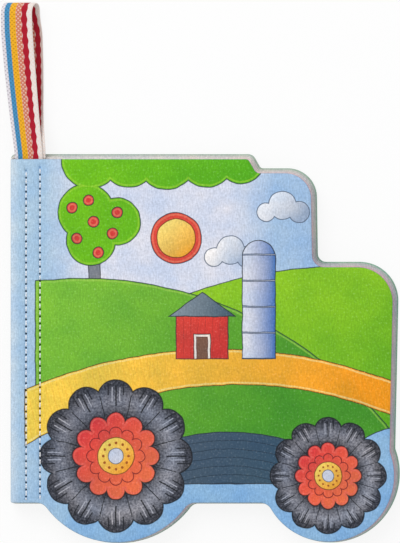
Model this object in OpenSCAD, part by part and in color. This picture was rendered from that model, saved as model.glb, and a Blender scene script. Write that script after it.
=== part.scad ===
// Soft cloth book, sewn along the spine, with a woven ribbon loop at its top.
// It lies on its back cover: +X runs from the spine to the fore edge, +Y up the page, +Z out of the
// front cover. The covers are cut to a stepped outline: a tall roof, a lower stack, a bonnet and two
// round lobes. Sizes in the modules are in book coordinates, whose origin is the bottom corner of
// the spine on the back face; the last step moves the book so that the origin is under its middle.

/* [Cover outline] */
// height of the spine edge, from the line between the wheels to the roof
cover_height = 145.5; // [140:0.5:155]
// where the roof ends, measured from the spine edge
roof_end = 100.5; // [92:0.5:104]
// how far the wall below the roof stands to the right of the roof's end
roof_slant = 3.4; // [1:0.2:6]
// how far the stack's top lies below the roof
stack_drop = 6; // [4:0.5:12]
// right side of the stack at its top
stack_right = 127; // [118:0.5:132]
// how far the stack's foot stands to the right of its top
stack_slant = 0.6; // [0:0.2:2]
// height of the bonnet's top edge
bonnet_height = 99.8; // [85:0.2:110]
// how far the book reaches from the spine edge to the nose
cover_width = 162; // [154:0.5:172]
// how far the nose falls back at its foot
nose_rake = 1.6; // [0:0.2:4]
// rounding of the spine corners
spine_corner_r = 0.8; // [0.6:0.1:2]
// rounding of the roof corner
roof_corner_r = 2; // [1:0.5:4]
// rounding in the notch between roof and stack
roof_notch_r = 3; // [2:0.5:4]
// rounding of the stack's top corner
stack_corner_r = 11; // [6:0.5:14]
// rounding in the notch between stack and bonnet
bonnet_notch_r = 5; // [3:0.5:7]
// rounding of the bonnet's nose corner
nose_corner_r = 15; // [8:0.5:20]

/* [Wheel lobes] */
// centre of the rear lobe from the spine edge
rear_x = 44.5; // [43:0.5:48]
// height of the rear lobe's centre
rear_y = 19.8; // [16:0.2:24]
// radius of the rear lobe
rear_r = 36.6; // [34:0.2:38]
// how far the front lobe's centre lies behind the nose
front_behind_nose = 27.7; // [26:0.1:29]
// height of the front lobe's centre
front_y = 11.5; // [9:0.5:14]
// radius of the front lobe
front_r = 28; // [26.4:0.2:29]
// rounding where a lobe leaves the bottom edge
lobe_fillet = 5.5; // [3:0.5:7]
// rounding where the nose meets the front lobe
nose_fillet = 4; // [3:0.5:6]

/* [Leaves] */
// thickness of each padded cover
cover_t = 2; // [1.6:0.1:2.6]
// thickness of each inner leaf
leaf_t = 2; // [1.4:0.1:2.6]
// number of inner leaves
leaf_count = 3; // [2:1:4]
// gap between two leaves beyond the sewn spine
leaf_gap = 0.2; // [0.1:0.05:0.4]
// how far the gap between leaves reaches in from their edges
gap_reach = 2; // [1:0.5:4]
// how much larger each leaf is cut than the one above it
leaf_grow = 0.35; // [0:0.05:0.5]
// how far each leaf creeps towards the fore edge
creep_x = 0.3; // [0:0.02:0.4]
// how far each leaf creeps upwards
creep_y = 0.2; // [0:0.02:0.3]
// how far the rounded edge of a leaf draws in
edge_in = 0.5; // [0.3:0.1:0.8]
// height of the rounded edge of a leaf
edge_h = 0.4; // [0.2:0.05:0.5]

/* [Spine and seams] */
// distance of the fold line from the spine edge
fold_x = 15; // [14.6:0.1:18]
// width of the fold between a spine strip and its cover
fold_gap = 0.4; // [0.3:0.1:0.8]
// distance of the outer seam from the spine edge
seam_outer_x = 6.5; // [5:0.1:8]
// distance of the inner seam from the spine edge
seam_inner_x = 12.4; // [11.5:0.1:12.8]
// length of a stitch
stitch_pitch = 3; // [2.8:0.1:3.4]
// how far the outer seam starts below the top edge
seam_outer_start = 4.9; // [4:0.1:7]
// how far the inner seam starts below the top edge
seam_inner_start = 3.6; // [3:0.1:6]
// how near the seams come to the bottom edge
seam_foot = 1.4; // [1.2:0.1:3]
// width of the sewing thread
thread_w = 0.7; // [0.5:0.05:0.8]
// thickness of the sewing thread
thread_t = 0.5; // [0.4:0.05:0.6]
// how far a stitch dips from its middle to its needle hole
stitch_dip = 0.35; // [0.2:0.05:0.4]
// bore of a needle hole
hole_d = 1; // [0.9:0.05:1.1]
// width of the valley that the stitches pull into the cloth, at the face
valley_w = 2.6; // [2.2:0.1:3]
// width of the valley's floor
valley_floor_w = 1.2; // [1.1:0.05:1.4]
// clearance between a stitch and the face of the cloth, and under its ends
thread_clear = 0.05; // [0.03:0.01:0.1]

/* [Ribbon loop] */
// width of the ribbon
ribbon_w = 13; // [10:0.5:14]
// thickness of the ribbon
ribbon_t = 0.8; // [0.6:0.05:1]
// middle of the ribbon where it leaves the spine
ribbon_x = 7.8; // [7:0.1:8.2]
// height of the loop above the top edge
loop_height = 66.5; // [50:0.5:75]
// radius of the bend at the top of the loop
loop_bend_r = 4.2; // [3.2:0.2:4.4]
// how far the front run leans towards the spine at the top
front_lean = 5.4; // [3:0.1:6]
// how far the back run leans towards the spine at the top
back_lean = 3.2; // [2:0.1:5]
// height above the top edge where the back run starts to lean
back_turn = 38; // [20:1:44]
// how far the ribbon's two ends are sewn in between the leaves
tail_length = 14; // [10:0.5:20]
// clearance around the sewn-in ends
tail_clear = 0.1; // [0.05:0.01:0.15]
// clearance between the loop and the ground
ground_clear = 0.1; // [0.05:0.05:0.3]

/* [Printed farm] */
// height of the near hill's top
hill_top = 95; // [80:1:110]
// height of the wheat field's top
wheat_top = 65; // [55:1:75]
// height of the ploughed field's top
field_top = 30; // [20:1:40]
// height of the brook's bank
bank = 8; // [5:0.5:12]
// number of petals on each large flower
petals = 12; // [8:1:16]
// share of a lobe's radius that its flower fills
flower_fill = 0.88; // [0.7:0.02:0.9]
// how much each print layer stands proud of the one below
ink_t = 0.04; // [0.02:0.01:0.06]

/* [Hidden] */

arc_step = 7;
least_r = 0.3;
front_x = cover_width - front_behind_nose;
layer_rise = leaf_t + leaf_gap;
block_h = leaf_count * leaf_t + (leaf_count + 1) * leaf_gap;
book_h = block_h + 2 * cover_t;
back_k = leaf_count + 1;
layer_z = [for (k = [0:back_k]) book_h - cover_t - k * layer_rise];

valley_depth = 2 * thread_clear + thread_t + stitch_dip;
seams = [[seam_outer_x, seam_outer_start], [seam_inner_x, seam_inner_start]];
function stitch_count(s) = floor((cover_height - s[1] - seam_foot) / stitch_pitch);
function hole_y(s, i) = cover_height - s[1] - i * stitch_pitch;

tail_stack = 2 * ribbon_t + 3 * tail_clear;
tail_z = layer_z[0] - leaf_gap - tail_clear - ribbon_t / 2;
lower_z = ground_clear + ribbon_t / 2;
loop_top_z = lower_z + 2 * loop_bend_r;

function unit(v) = v / norm(v);
function turn(a, b) = a[0] * b[1] - a[1] * b[0];
function arc(c, r, a0, a1) = let (n = max(2, ceil(abs(a1 - a0) / arc_step)))
    [for (i = [0:n]) c + r * [cos(a0 + (a1 - a0) * i / n), sin(a0 + (a1 - a0) * i / n)]];

// one corner of a clockwise outline, rounded, with the whole outline grown outwards by grow
function rounded_corner(before, at, after, r, grow) =
    let (d1 = unit(at - before), d2 = unit(after - at), n1 = [-d1[1], d1[0]], n2 = [-d2[1], d2[0]],
         side = turn(d1, d2) < 0 ? 1 : -1, rr = max(r + side * grow, least_r),
         reach = (n1 + n2) / (1 + n1 * n2), c = at + reach * (grow - side * rr),
         a0 = atan2(side * n1[1], side * n1[0]))
    arc(c, rr, a0, a0 - side * acos(n1 * n2));

// the run along the bottom edge round one lobe, from right to left; from is the lobe's first angle
function lobe(cx, cy, r, grow, from) =
    let (drop = cy + lobe_fillet, w = sqrt(pow(r + lobe_fillet, 2) - drop * drop),
         out = atan2(drop, w))
    concat(arc([cx, cy], r + grow, from, out - 180),
           arc([cx - w, -lobe_fillet], lobe_fillet - grow, out, 90));

function lobe_entry(cx, cy, r, grow) =
    let (drop = cy + lobe_fillet, w = sqrt(pow(r + lobe_fillet, 2) - drop * drop))
    arc([cx + w, -lobe_fillet], lobe_fillet - grow, 90, 180 - atan2(drop, w));

function lobe_start(cy, r) =
    let (drop = cy + lobe_fillet, w = sqrt(pow(r + lobe_fillet, 2) - drop * drop)) -atan2(drop, w);

nose_foot_x = cover_width - nose_rake;
nose_c = [nose_foot_x + nose_fillet,
          front_y + sqrt(pow(front_r + nose_fillet, 2) - pow(nose_foot_x + nose_fillet - front_x, 2))];
nose_angle = atan2(nose_c[1] - front_y, nose_c[0] - front_x);

// the cover's outline, clockwise from the top of the spine
function outline(grow) =
    let (a = [0, cover_height], b = [roof_end, cover_height],
         c = [roof_end + roof_slant, cover_height - stack_drop], d = [stack_right, cover_height - stack_drop],
         e = [stack_right + stack_slant, bonnet_height], f = [cover_width, bonnet_height],
         g = [nose_foot_x, nose_c[1]], z = [0, 0])
    concat(rounded_corner(z, a, b, spine_corner_r, grow),
           rounded_corner(a, b, c, roof_corner_r, grow),
           rounded_corner(b, c, d, roof_notch_r, grow),
           rounded_corner(c, d, e, stack_corner_r, grow),
           rounded_corner(d, e, f, bonnet_notch_r, grow),
           rounded_corner(e, f, g, nose_corner_r, grow),
           arc(nose_c, nose_fillet - grow, 180, 180 + nose_angle),
           lobe(front_x, front_y, front_r, grow, nose_angle),
           lobe_entry(rear_x, rear_y, rear_r, grow),
           lobe(rear_x, rear_y, rear_r, grow, lobe_start(rear_y, rear_r)),
           rounded_corner([rear_x, 0], z, a, spine_corner_r, grow));

// the whole book's box, for the origin
back_outline = outline(back_k * leaf_grow);
reach_right = max([for (p = back_outline) p[0]]) + back_k * creep_x;
reach_left = min(0, ribbon_x - front_lean - ribbon_w / 2);
reach_top = cover_height + loop_height;
reach_foot = min([for (p = back_outline) p[1]]) + back_k * creep_y;
origin = [(reach_left + reach_right) / 2, (reach_foot + reach_top) / 2, 0];

// the outline of layer k, counted from the front cover; every layer is flush along the spine
module layer_outline(k, inset = 0) {
    grow = k * leaf_grow - inset;
    left = inset;
    polygon([for (p = outline(grow)) [max(p[0] + k * creep_x, left), p[1] + k * creep_y]]);
}

module needle_holes(d = hole_d) {
    for (s = seams) for (i = [0:stitch_count(s)]) translate([s[0], hole_y(s, i)]) circle(d = d, $fn = 16);
}

// one padded sheet between z0 and z0 + t, with softly rounded edges; its children trim its outline
module sheet(k, z0, t) {
    for (lay = [[0, t, edge_in], [edge_h / 2, t - edge_h / 2, edge_in / 3], [edge_h, t - edge_h, 0]])
        translate([0, 0, z0 + lay[0]]) linear_extrude(lay[1] - lay[0]) intersection() {
            layer_outline(k, lay[2]);
            children();
        }
}

module spine_side() {
    difference() {
        translate([-5, -60]) square([5 + fold_x - fold_gap / 2, 260]);
        needle_holes();
    }
}

module cover_side() {
    translate([fold_x + fold_gap / 2, -60]) square([200, 260]);
}

// the valley that a row of stitches pulls into a face that looks up at z = 0
module stitch_valleys() {
    for (s = seams) let (top = hole_y(s, 0) + stitch_pitch / 2)
        translate([s[0], top, 0]) rotate([90, 0, 0]) linear_extrude(top + 10)
            polygon([[-valley_w / 2, 0.01], [-valley_floor_w / 2, -valley_depth],
                     [valley_floor_w / 2, -valley_depth], [valley_w / 2, 0.01]]);
}

module front_spine_strip() {
    color("#adcce3") difference() {
        sheet(0, book_h - cover_t - leaf_gap, cover_t + leaf_gap) spine_side();
        translate([0, 0, book_h]) stitch_valleys();
    }
}

module back_spine_strip() {
    color("#adcce3") difference() {
        sheet(back_k, 0, cover_t + leaf_gap) spine_side();
        mirror([0, 0, 1]) stitch_valleys();
    }
}

// the print on the front cover: plain fields of colour, each layer a little proud of the one below
module disc(x, y, r) {
    translate([x, y]) circle(r = r, $fn = 48);
}

module bank_side() {
    translate([0, bank]) square([200, 200]);
}

module far_hill() {
    disc(cover_width - 12, hill_top - 190, 185);
}

module near_hill() {
    disc(30, hill_top - 165, 165);
}

module treetops() {
    for (t = [[24, 12], [41, 10], [57, 12], [75, 11], [91, 10], [103, 8]])
        disc(t[0], cover_height - 1, t[1]);
    for (t = [[27, 19, 13], [41, 24, 11], [29, 34, 11]]) disc(t[0], cover_height - t[1], t[2]);
}

module wheat() {
    intersection() {
        difference() {
            disc(95, wheat_top - 95, 95);
            disc(100, wheat_top - 110, 95);
        }
        bank_side();
    }
}

module ploughed_field() {
    intersection() {
        disc(92, field_top - 88, 88);
        bank_side();
    }
}

module brook() {
    translate([0, -60]) square([200, 60 + bank]);
}

module flower_petals(x, y, r) {
    for (i = [0:petals - 1]) translate([x, y]) rotate(i * 360 / petals) translate([r * 0.76, 0])
        circle(r = r * 0.24, $fn = 32);
    disc(x, y, r * 0.74);
}

module clouds() {
    for (c = [[74, 112], [143, 88]], d = [[-7, -1, 4], [0, 2, 6], [7, -1, 4.5]])
        disc(c[0] + d[0], c[1] + d[1], d[2]);
}

module silo() {
    translate([98, hill_top - 34]) square([13, 36]);
    disc(104.5, hill_top + 2, 6.5);
}

module barn() {
    translate([70, hill_top - 34]) square([22, 18]);
}

module barn_roof() {
    polygon([[67, hill_top - 16], [81, hill_top - 6], [95, hill_top - 16]]);
}

module apples() {
    for (a = [[23, 18], [33, 24], [25, 31], [42, 20], [39, 29], [34, 38]])
        disc(a[0], cover_height - a[1], 2.4);
}

module printed(level) {
    translate([0, 0, book_h - edge_h / 2]) linear_extrude(edge_h / 2 + level * ink_t) intersection() {
        layer_outline(0, edge_in);
        cover_side();
        children();
    }
}

flowers = [[rear_x, rear_y, rear_r * flower_fill], [front_x, front_y, front_r * flower_fill]];

module front_cover() {
    color("#dfe4f2") sheet(0, book_h - cover_t, cover_t) cover_side();
    color("#8ac41b") printed(1) far_hill();
    color("#67b926") printed(2) treetops();
    color("#75b33d") printed(2) near_hill();
    color("#fbfbf7") printed(1) clouds();
    color("#ec5741") printed(1) disc(stack_right - 8.5, cover_height - 24.5, 10.5);
    color("#fcd65b") printed(2) disc(stack_right - 8.5, cover_height - 24.5, 8);
    color("#6d8295") printed(3) translate([27, 80]) square([5, 26]);
    color("#fcd65b") printed(3) wheat();
    color("#5987bd") printed(3) silo();
    color("#ec5741") printed(3) barn();
    color("#4f6473") printed(4) barn_roof();
    color("#4f6473") printed(4) ploughed_field();
    color("#85b5dc") printed(3) brook();
    color("#ec5741") printed(3) apples();
    for (f = flowers) {
        color("#4a4e57") printed(5) flower_petals(f[0], f[1], f[2]);
        color("#da4843") printed(6) disc(f[0], f[1], f[2] * 0.56);
        color("#fec844") printed(7) disc(f[0], f[1], f[2] * 0.24);
        color("#dfe4f2") printed(8) disc(f[0], f[1], f[2] * 0.1);
    }
}

module back_cover() {
    color("#67b926") sheet(back_k, 0, cover_t) cover_side();
}

module pages() {
    color("#c3aeb9") difference() {
        union() {
            for (k = [1:leaf_count]) sheet(k, layer_z[k], leaf_t) difference() {
                translate([-5, -60]) square([220, 260]);
                needle_holes();
            }
            for (k = [1:leaf_count - 1]) translate([0, 0, layer_z[k] - leaf_gap - edge_h])
                linear_extrude(leaf_gap + 2 * edge_h) difference() {
                    layer_outline(k, gap_reach);
                    needle_holes();
                }
        }
        tail_recess();
    }
}

// the sewn-in ends of the ribbon lie one on the other in this recess
module tail_recess() {
    translate([ribbon_x - ribbon_w / 2 - tail_clear, cover_height - tail_length - tail_clear,
               layer_z[0] - leaf_gap - tail_stack])
        cube([ribbon_w + 2 * tail_clear, tail_length + 20, tail_stack + 1]);
}

// side view of a seam: a row of arched stitches on each face, joined through every needle hole
function stitch_rise(t) = -stitch_dip * pow(abs(2 * t - 1), 2);
steps = 6;
module seam(s) {
    n = stitch_count(s);
    y0 = hole_y(s, n);
    leg = thread_t / 2;
    face_z = book_h - thread_clear;
    foot = thread_clear;
    crest = [for (i = [0:n - 1]) for (j = [0:steps])
        [y0 + (i + j / steps) * stitch_pitch, stitch_rise(j / steps)]];
    rim = concat([[y0 - leg, -stitch_dip]], crest, [[y0 + n * stitch_pitch + leg, -stitch_dip]]);
    translate([s[0] - thread_w / 2, 0, 0]) rotate([90, 0, 90]) linear_extrude(thread_w) difference() {
        polygon(concat([for (p = rim) [p[0], face_z + p[1]]],
                       [for (j = [len(rim) - 1:-1:0]) [rim[j][0], foot - rim[j][1]]]));
        for (i = [0:n - 1]) polygon(concat(
            [for (j = [0:steps]) let (t = min(max(j / steps, leg / stitch_pitch), 1 - leg / stitch_pitch))
                [y0 + (i + t) * stitch_pitch, face_z - thread_t + stitch_rise(t)]],
            [for (j = [steps:-1:0]) let (t = min(max(j / steps, leg / stitch_pitch), 1 - leg / stitch_pitch))
                [y0 + (i + t) * stitch_pitch, foot + thread_t - stitch_rise(t)]]));
    }
}

module seam_outer() {
    color("#f4f2ec") seam(seams[0]);
}

module seam_inner() {
    color("#f4f2ec") seam(seams[1]);
}

// the ribbon's path: [y above the top edge, z, middle in x], from the upper end round to the lower end
function ease(t) = t * t * (3 - 2 * t);
run_end = loop_height - loop_bend_r - ribbon_t / 2;
rise_from = 3;
upper_run = [for (i = [0:20]) let (t = i / 20, y = -tail_length + t * (tail_length + run_end))
    [y, y < rise_from ? tail_z
        : tail_z + (loop_top_z - tail_z) * ease((y - rise_from) / (run_end - rise_from)),
     y < 0 ? ribbon_x : ribbon_x - front_lean * ease(y / run_end)]];
bend_run = [for (i = [1:11])
    let (a = 90 - 15 * i, back_x = ribbon_x - back_lean, front_x1 = ribbon_x - front_lean)
    [run_end + loop_bend_r * cos(a), lower_z + loop_bend_r * (1 + sin(a)),
     front_x1 + (back_x - front_x1) * i / 12]];
lower_tail_z = tail_z - ribbon_t - tail_clear;
sink_from = 4;
sink_over = 26;
lower_run = [for (i = [0:20]) let (t = i / 20, y = run_end - t * (tail_length + run_end))
    [y, y < sink_from ? lower_tail_z
        : lower_tail_z + (lower_z - lower_tail_z) * ease(min((y - sink_from) / sink_over, 1)),
     y < back_turn ? ribbon_x : ribbon_x - back_lean * ease((y - back_turn) / (run_end - back_turn))]];
ribbon_path = concat(upper_run, bend_run, lower_run);

module ribbon_loop() {
    n = len(ribbon_path);
    rings = [for (k = [0:n - 1])
        let (p = ribbon_path[k], a = ribbon_path[max(k - 1, 0)], b = ribbon_path[min(k + 1, n - 1)],
             d = unit([b[0] - a[0], b[1] - a[1]]), half = [-d[1], d[0]] * ribbon_t / 2)
        [for (c = [[-1, 1], [1, 1], [1, -1], [-1, -1]])
            [p[2] + c[0] * ribbon_w / 2, cover_height + p[0] + c[1] * half[0], p[1] + c[1] * half[1]]]];
    color("#fec844") difference() {
        polyhedron([for (r = rings) for (v = r) v],
                   concat([[0, 1, 2, 3]],
                          [for (k = [0:n - 2]) for (j = [0:3]) let (m = (j + 1) % 4)
                              [4 * k + j, 4 * (k + 1) + j, 4 * (k + 1) + m, 4 * k + m]],
                          [[4 * n - 1, 4 * n - 2, 4 * n - 3, 4 * n - 4]]), convexity = 6);
        translate([0, 0, 1]) linear_extrude(book_h) needle_holes();
    }
}

translate(-origin) {
    pages();
    front_spine_strip();
    front_cover();
    back_spine_strip();
    back_cover();
    seam_outer();
    seam_inner();
    ribbon_loop();
}
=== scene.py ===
import math

import bpy
import numpy as np
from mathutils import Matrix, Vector, noise
from mathutils.geometry import delaunay_2d_cdt


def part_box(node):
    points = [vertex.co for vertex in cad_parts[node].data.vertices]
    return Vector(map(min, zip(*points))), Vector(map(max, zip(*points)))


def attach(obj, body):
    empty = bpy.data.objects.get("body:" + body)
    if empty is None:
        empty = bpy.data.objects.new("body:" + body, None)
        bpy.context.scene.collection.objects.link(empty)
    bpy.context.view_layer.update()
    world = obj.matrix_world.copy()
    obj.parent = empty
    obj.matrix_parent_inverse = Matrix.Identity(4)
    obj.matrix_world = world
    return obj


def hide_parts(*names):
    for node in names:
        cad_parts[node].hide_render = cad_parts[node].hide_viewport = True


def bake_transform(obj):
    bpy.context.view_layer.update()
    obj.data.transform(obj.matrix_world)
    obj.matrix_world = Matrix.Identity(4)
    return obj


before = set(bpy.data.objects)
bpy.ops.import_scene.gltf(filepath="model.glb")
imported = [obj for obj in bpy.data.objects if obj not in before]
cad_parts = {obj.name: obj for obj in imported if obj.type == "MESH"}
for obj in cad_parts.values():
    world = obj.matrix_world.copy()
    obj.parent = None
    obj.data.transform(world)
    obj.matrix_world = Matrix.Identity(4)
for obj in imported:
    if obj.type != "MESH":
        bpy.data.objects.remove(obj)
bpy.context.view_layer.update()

# Book coordinates are in millimetres: x from the spine edge to the fore edge, y up the page from the line
# between the two lobes, z up from the table. The shared frame is in metres.
MM = 0.001
COVER_HEIGHT = 145.5
BOOK_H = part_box("front_spine_strip")[1].z / MM
BOOK_X0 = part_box("back_spine_strip")[0].x
BOOK_Y0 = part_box("front_cover")[1].y - COVER_HEIGHT * MM


def placed(points):
    """Book millimetres, one point a row, to metres in the shared frame."""
    moved = np.array(points, float) * MM
    moved[:, 0] += BOOK_X0
    moved[:, 1] += BOOK_Y0
    return moved


# The cover's outline, as it is cut

ROOF_END, ROOF_SLANT, STACK_DROP, STACK_RIGHT, STACK_SLANT = 100.5, 3.4, 6, 127, 0.6
BONNET_HEIGHT, COVER_WIDTH, NOSE_RAKE = 99.8, 162, 1.6
REAR_LOBE = (44.5, 19.8, 36.6)  # x and y of its middle, radius
FRONT_LOBE = (134.3, 11.5, 28)
LOBE_FILLET, NOSE_FILLET = 5.5, 4
# Roundings of the corners, clockwise from the top of the spine.
SPINE_R, ROOF_R, ROOF_NOTCH_R, STACK_R, BONNET_NOTCH_R, NOSE_R = 0.8, 2, 3, 11, 5, 15
ARC_STEP = 3.5  # degrees between two points of an arc
LEAST_R = 0.3


def arc(cx, cy, r, start, stop):
    steps = max(2, math.ceil(abs(stop - start) / ARC_STEP))
    turns = [math.radians(start + (stop - start) * i / steps) for i in range(steps + 1)]
    return [(cx + r * math.cos(a), cy + r * math.sin(a)) for a in turns]


def rounded_corner(before, at, after, r, grow):
    """One corner of the clockwise outline, rounded, with the whole outline grown outwards by grow."""
    d1 = (Vector(at) - Vector(before)).normalized()
    d2 = (Vector(after) - Vector(at)).normalized()
    n1, n2 = Vector((-d1.y, d1.x)), Vector((-d2.y, d2.x))
    side = 1 if d1.x * d2.y - d1.y * d2.x < 0 else -1
    rr = max(r + side * grow, LEAST_R)
    centre = Vector(at) + (n1 + n2) / (1 + n1.dot(n2)) * (grow - side * rr)
    start = math.degrees(math.atan2(side * n1.y, side * n1.x))
    return arc(centre.x, centre.y, rr, start, start - side * math.degrees(math.acos(n1.dot(n2))))


def lobe_reach(cy, r):
    drop = cy + LOBE_FILLET
    across = math.sqrt((r + LOBE_FILLET) ** 2 - drop * drop)
    return across, math.degrees(math.atan2(drop, across))


def lobe(cx, cy, r, grow, start):
    across, out = lobe_reach(cy, r)
    return (arc(cx, cy, r + grow, start, out - 180)
            + arc(cx - across, -LOBE_FILLET, LOBE_FILLET - grow, out, 90))


def lobe_entry(cx, cy, r, grow):
    across, out = lobe_reach(cy, r)
    return arc(cx + across, -LOBE_FILLET, LOBE_FILLET - grow, 90, 180 - out)


def outline(grow):
    """The cut edge of a leaf, clockwise from the top of the spine, grown outwards by grow."""
    a, b = (0, COVER_HEIGHT), (ROOF_END, COVER_HEIGHT)
    c = (ROOF_END + ROOF_SLANT, COVER_HEIGHT - STACK_DROP)
    d, e = (STACK_RIGHT, COVER_HEIGHT - STACK_DROP), (STACK_RIGHT + STACK_SLANT, BONNET_HEIGHT)
    fx, fy, fr = FRONT_LOBE
    foot_x = COVER_WIDTH - NOSE_RAKE
    nose_x = foot_x + NOSE_FILLET
    nose_y = fy + math.sqrt((fr + NOSE_FILLET) ** 2 - (nose_x - fx) ** 2)
    nose_angle = math.degrees(math.atan2(nose_y - fy, nose_x - fx))
    f, g = (COVER_WIDTH, BONNET_HEIGHT), (foot_x, nose_y)
    rx, ry, rr = REAR_LOBE
    corners = (((0, 0), a, b, SPINE_R), (a, b, c, ROOF_R), (b, c, d, ROOF_NOTCH_R), (c, d, e, STACK_R),
               (d, e, f, BONNET_NOTCH_R), (e, f, g, NOSE_R))
    upper = []
    for before, at, after, r in corners:
        upper += rounded_corner(before, at, after, r, grow)
    return (upper + arc(nose_x, nose_y, NOSE_FILLET - grow, 180, 180 + nose_angle)
            + lobe(fx, fy, fr, grow, nose_angle)
            + lobe_entry(rx, ry, rr, grow) + lobe(rx, ry, rr, grow, -lobe_reach(ry, rr)[1])
            + rounded_corner((rx, 0), (0, 0), a, SPINE_R, grow))


# How the cloth lies

LAST_LEAF = 4  # leaves are counted from the front cover, which is 0
LEAF_T, LEAF_GAP = 2, 0.2
LAYER_RISE = LEAF_T + LEAF_GAP
# Each leaf is cut a little larger than the one above and creeps out; the frame's boxes say how much.
front_box, back_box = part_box("front_cover"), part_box("back_cover")
top_shift, foot_shift = [(back_box[i].y - front_box[i].y) / MM / LAST_LEAF for i in (1, 0)]
LEAF_GROW, CREEP_Y = (top_shift - foot_shift) / 2, (top_shift + foot_shift) / 2
CREEP_X = (back_box[1].x - front_box[1].x) / MM / LAST_LEAF - LEAF_GROW
FOLD_X = 15
FOLD_EASE = 3  # width over which a strip turns into its cover
SEAMS = ((6.5, 4.9), (12.4, 3.6))  # distance from the spine edge, start below the top edge
STITCH = 3
SEAM_FOOT = 1.4  # whole stitches end at least this far above the lower edge
STITCH_COUNTS = [math.floor((COVER_HEIGHT - start - SEAM_FOOT) / STITCH) for _, start in SEAMS]
SEAM_CLEAR = 0.7  # the last stitch, cut short, ends this far above it
THREAD_R = 0.3
VALLEY, VALLEY_R = 0.6, 0.62  # how deep and how wide a seam pulls the cloth in
PUCKER, PUCKER_SWING, PUCKER_R = 0.06, 0.04, 1.9
HOLE_DIP, HOLE_R = 0.75, 0.34  # a needle hole's own dip
PULL_IN = 0.7  # stitches over which the pull grows at the top
PULL_FOOT = (0.3, 1.2)  # where it starts above the lower edge, and over what length
CREASE, CREASE_R = 0.12, 1.2
BILLOWS = ((41, 0.3, 0.020), (13, 5.1, 0.006))  # size of a wave, its place in the noise, its share of z
# From the middle of a leaf's cut edge inwards: distance in, share of the leaf's half thickness.
EDGE_RINGS = ((0.16, 0.0), (0.02, 0.2), (0.0, 0.36), (0.1, 0.5), (0.34, 0.62), (0.8, 0.71), (1.6, 0.8))
WIDEST = 2  # the ring that reaches furthest out
FACE_LIFT = 0.62  # share of the half thickness where the face begins
CROWN_LACK, CROWN_REACH = 0.2, 2.2  # what the last ring lacks, how fast the wadding fills it
TAIL_X, TAIL_Y = (1.2, 14.8), 131.2  # where the ribbon's ends lie between strip and leaf
TAIL_DENT, DENT_RIM = 1.72, 0.6
LEAST_T = 0.05  # what is left of the leaf under the dent


def ease(t):
    t = np.clip(t, 0, 1)
    return t * t * (3 - 2 * t)


def billow(x, y):
    """How much the whole stack stands higher or lower here than its mean, as a factor on z."""
    lifts = [sum(noise.noise(Vector((a / size, b / size, seed))) * share for size, seed, share in BILLOWS)
             for a, b in zip(x, y)]
    return 1 + np.array(lifts)


def stitch_pull(x, y):
    """How far the two seams pull the face of a spine strip in: a valley, its puckers and the needle holes."""
    pull = np.zeros(len(x))
    for seam_x, start in SEAMS:
        along = (COVER_HEIGHT - start - y) / STITCH
        near = ease((along + PULL_IN) / PULL_IN) * ease((y - PULL_FOOT[0]) / PULL_FOOT[1])
        off = x - seam_x
        valley = VALLEY * np.exp(-(off / VALLEY_R) ** 2)
        pucker = PUCKER + PUCKER_SWING * np.cos(2 * math.pi * along)
        pull += near * (valley + pucker * np.exp(-(off / PUCKER_R) ** 2))
        to_hole = (along - np.round(along)) * STITCH
        pull += near * HOLE_DIP * np.exp(-(off ** 2 + to_hole ** 2) / HOLE_R ** 2)
    return pull


def fold_pull(x):
    """The crease between a spine strip and its cover."""
    return CREASE * np.exp(-((x - FOLD_X) / CREASE_R) ** 2)


def ribbon_dent(x, y):
    """How far the ribbon's ends press the first leaf down."""
    left, right = ease(x - TAIL_X[0] + DENT_RIM), ease(TAIL_X[1] + DENT_RIM - x)
    return TAIL_DENT * (left * right * ease((y - TAIL_Y + DENT_RIM) / (2 * DENT_RIM)))


def inside(points, ring):
    """Which points lie inside the ring, by counting crossings."""
    x, y = points[:, 0:1], points[:, 1:2]
    nxt = np.roll(ring, -1, axis=0)
    spans = (ring[:, 1] > y) != (nxt[:, 1] > y)
    rise = np.where(nxt[:, 1] == ring[:, 1], 1e-9, nxt[:, 1] - ring[:, 1])
    crossing = (nxt[:, 0] - ring[:, 0]) * (y - ring[:, 1]) / rise + ring[:, 0]
    return (spans & (x < crossing)).sum(axis=1) % 2 == 1


def leaf_rings(k, spacing):
    """The leaf's cut edge as rings of as many points each, long straight runs divided."""
    rings = []
    for inset, _ in EDGE_RINGS:
        raw = outline(k * LEAF_GROW - inset)
        rings.append([(max(x + k * CREEP_X, inset), y + k * CREEP_Y) for x, y in raw])
    rings = np.array(rings)
    steps = np.linalg.norm(rings[WIDEST] - np.roll(rings[WIDEST], 1, axis=0), axis=1)
    rings = rings[:, steps > 1e-3]
    full = []
    count = rings.shape[1]
    for i in range(count):
        here, there = rings[:, i], rings[:, (i + 1) % count]
        parts = max(1, math.ceil(np.linalg.norm(there[WIDEST] - here[WIDEST]) / spacing))
        full += [here + (there - here) * j / parts for j in range(parts)]
    return np.stack(full, axis=1)


# Distances beside a seam, down from a hole and beside the fold at which a leaf's mesh has points.
BESIDE_SEAM = (0, 0.22, 0.45, 0.8, 1.25, 1.9, 2.6)
DOWN_STITCH = (0, 0.26, 0.52, 0.95, 1.5, 2.05, 2.48, 2.74)
SEWN_FOLD = (-1.5, -0.9, -0.5, -0.25, 0, 0.25, 0.5, 0.9, 1.5, 2.1)
PLAIN_FOLD, PLAIN_CLEAR = (-1.4, -0.7, 0, 0.7, 1.4), 1.9
FOLD_SPACING = 1.1
SPINE_ROW, SPINE_ROW_FOOT = 2.9, 1.7  # one row between the spine edge and the outer seam
RING_CLEAR = 0.5  # no point lies nearer to the last ring


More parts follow.
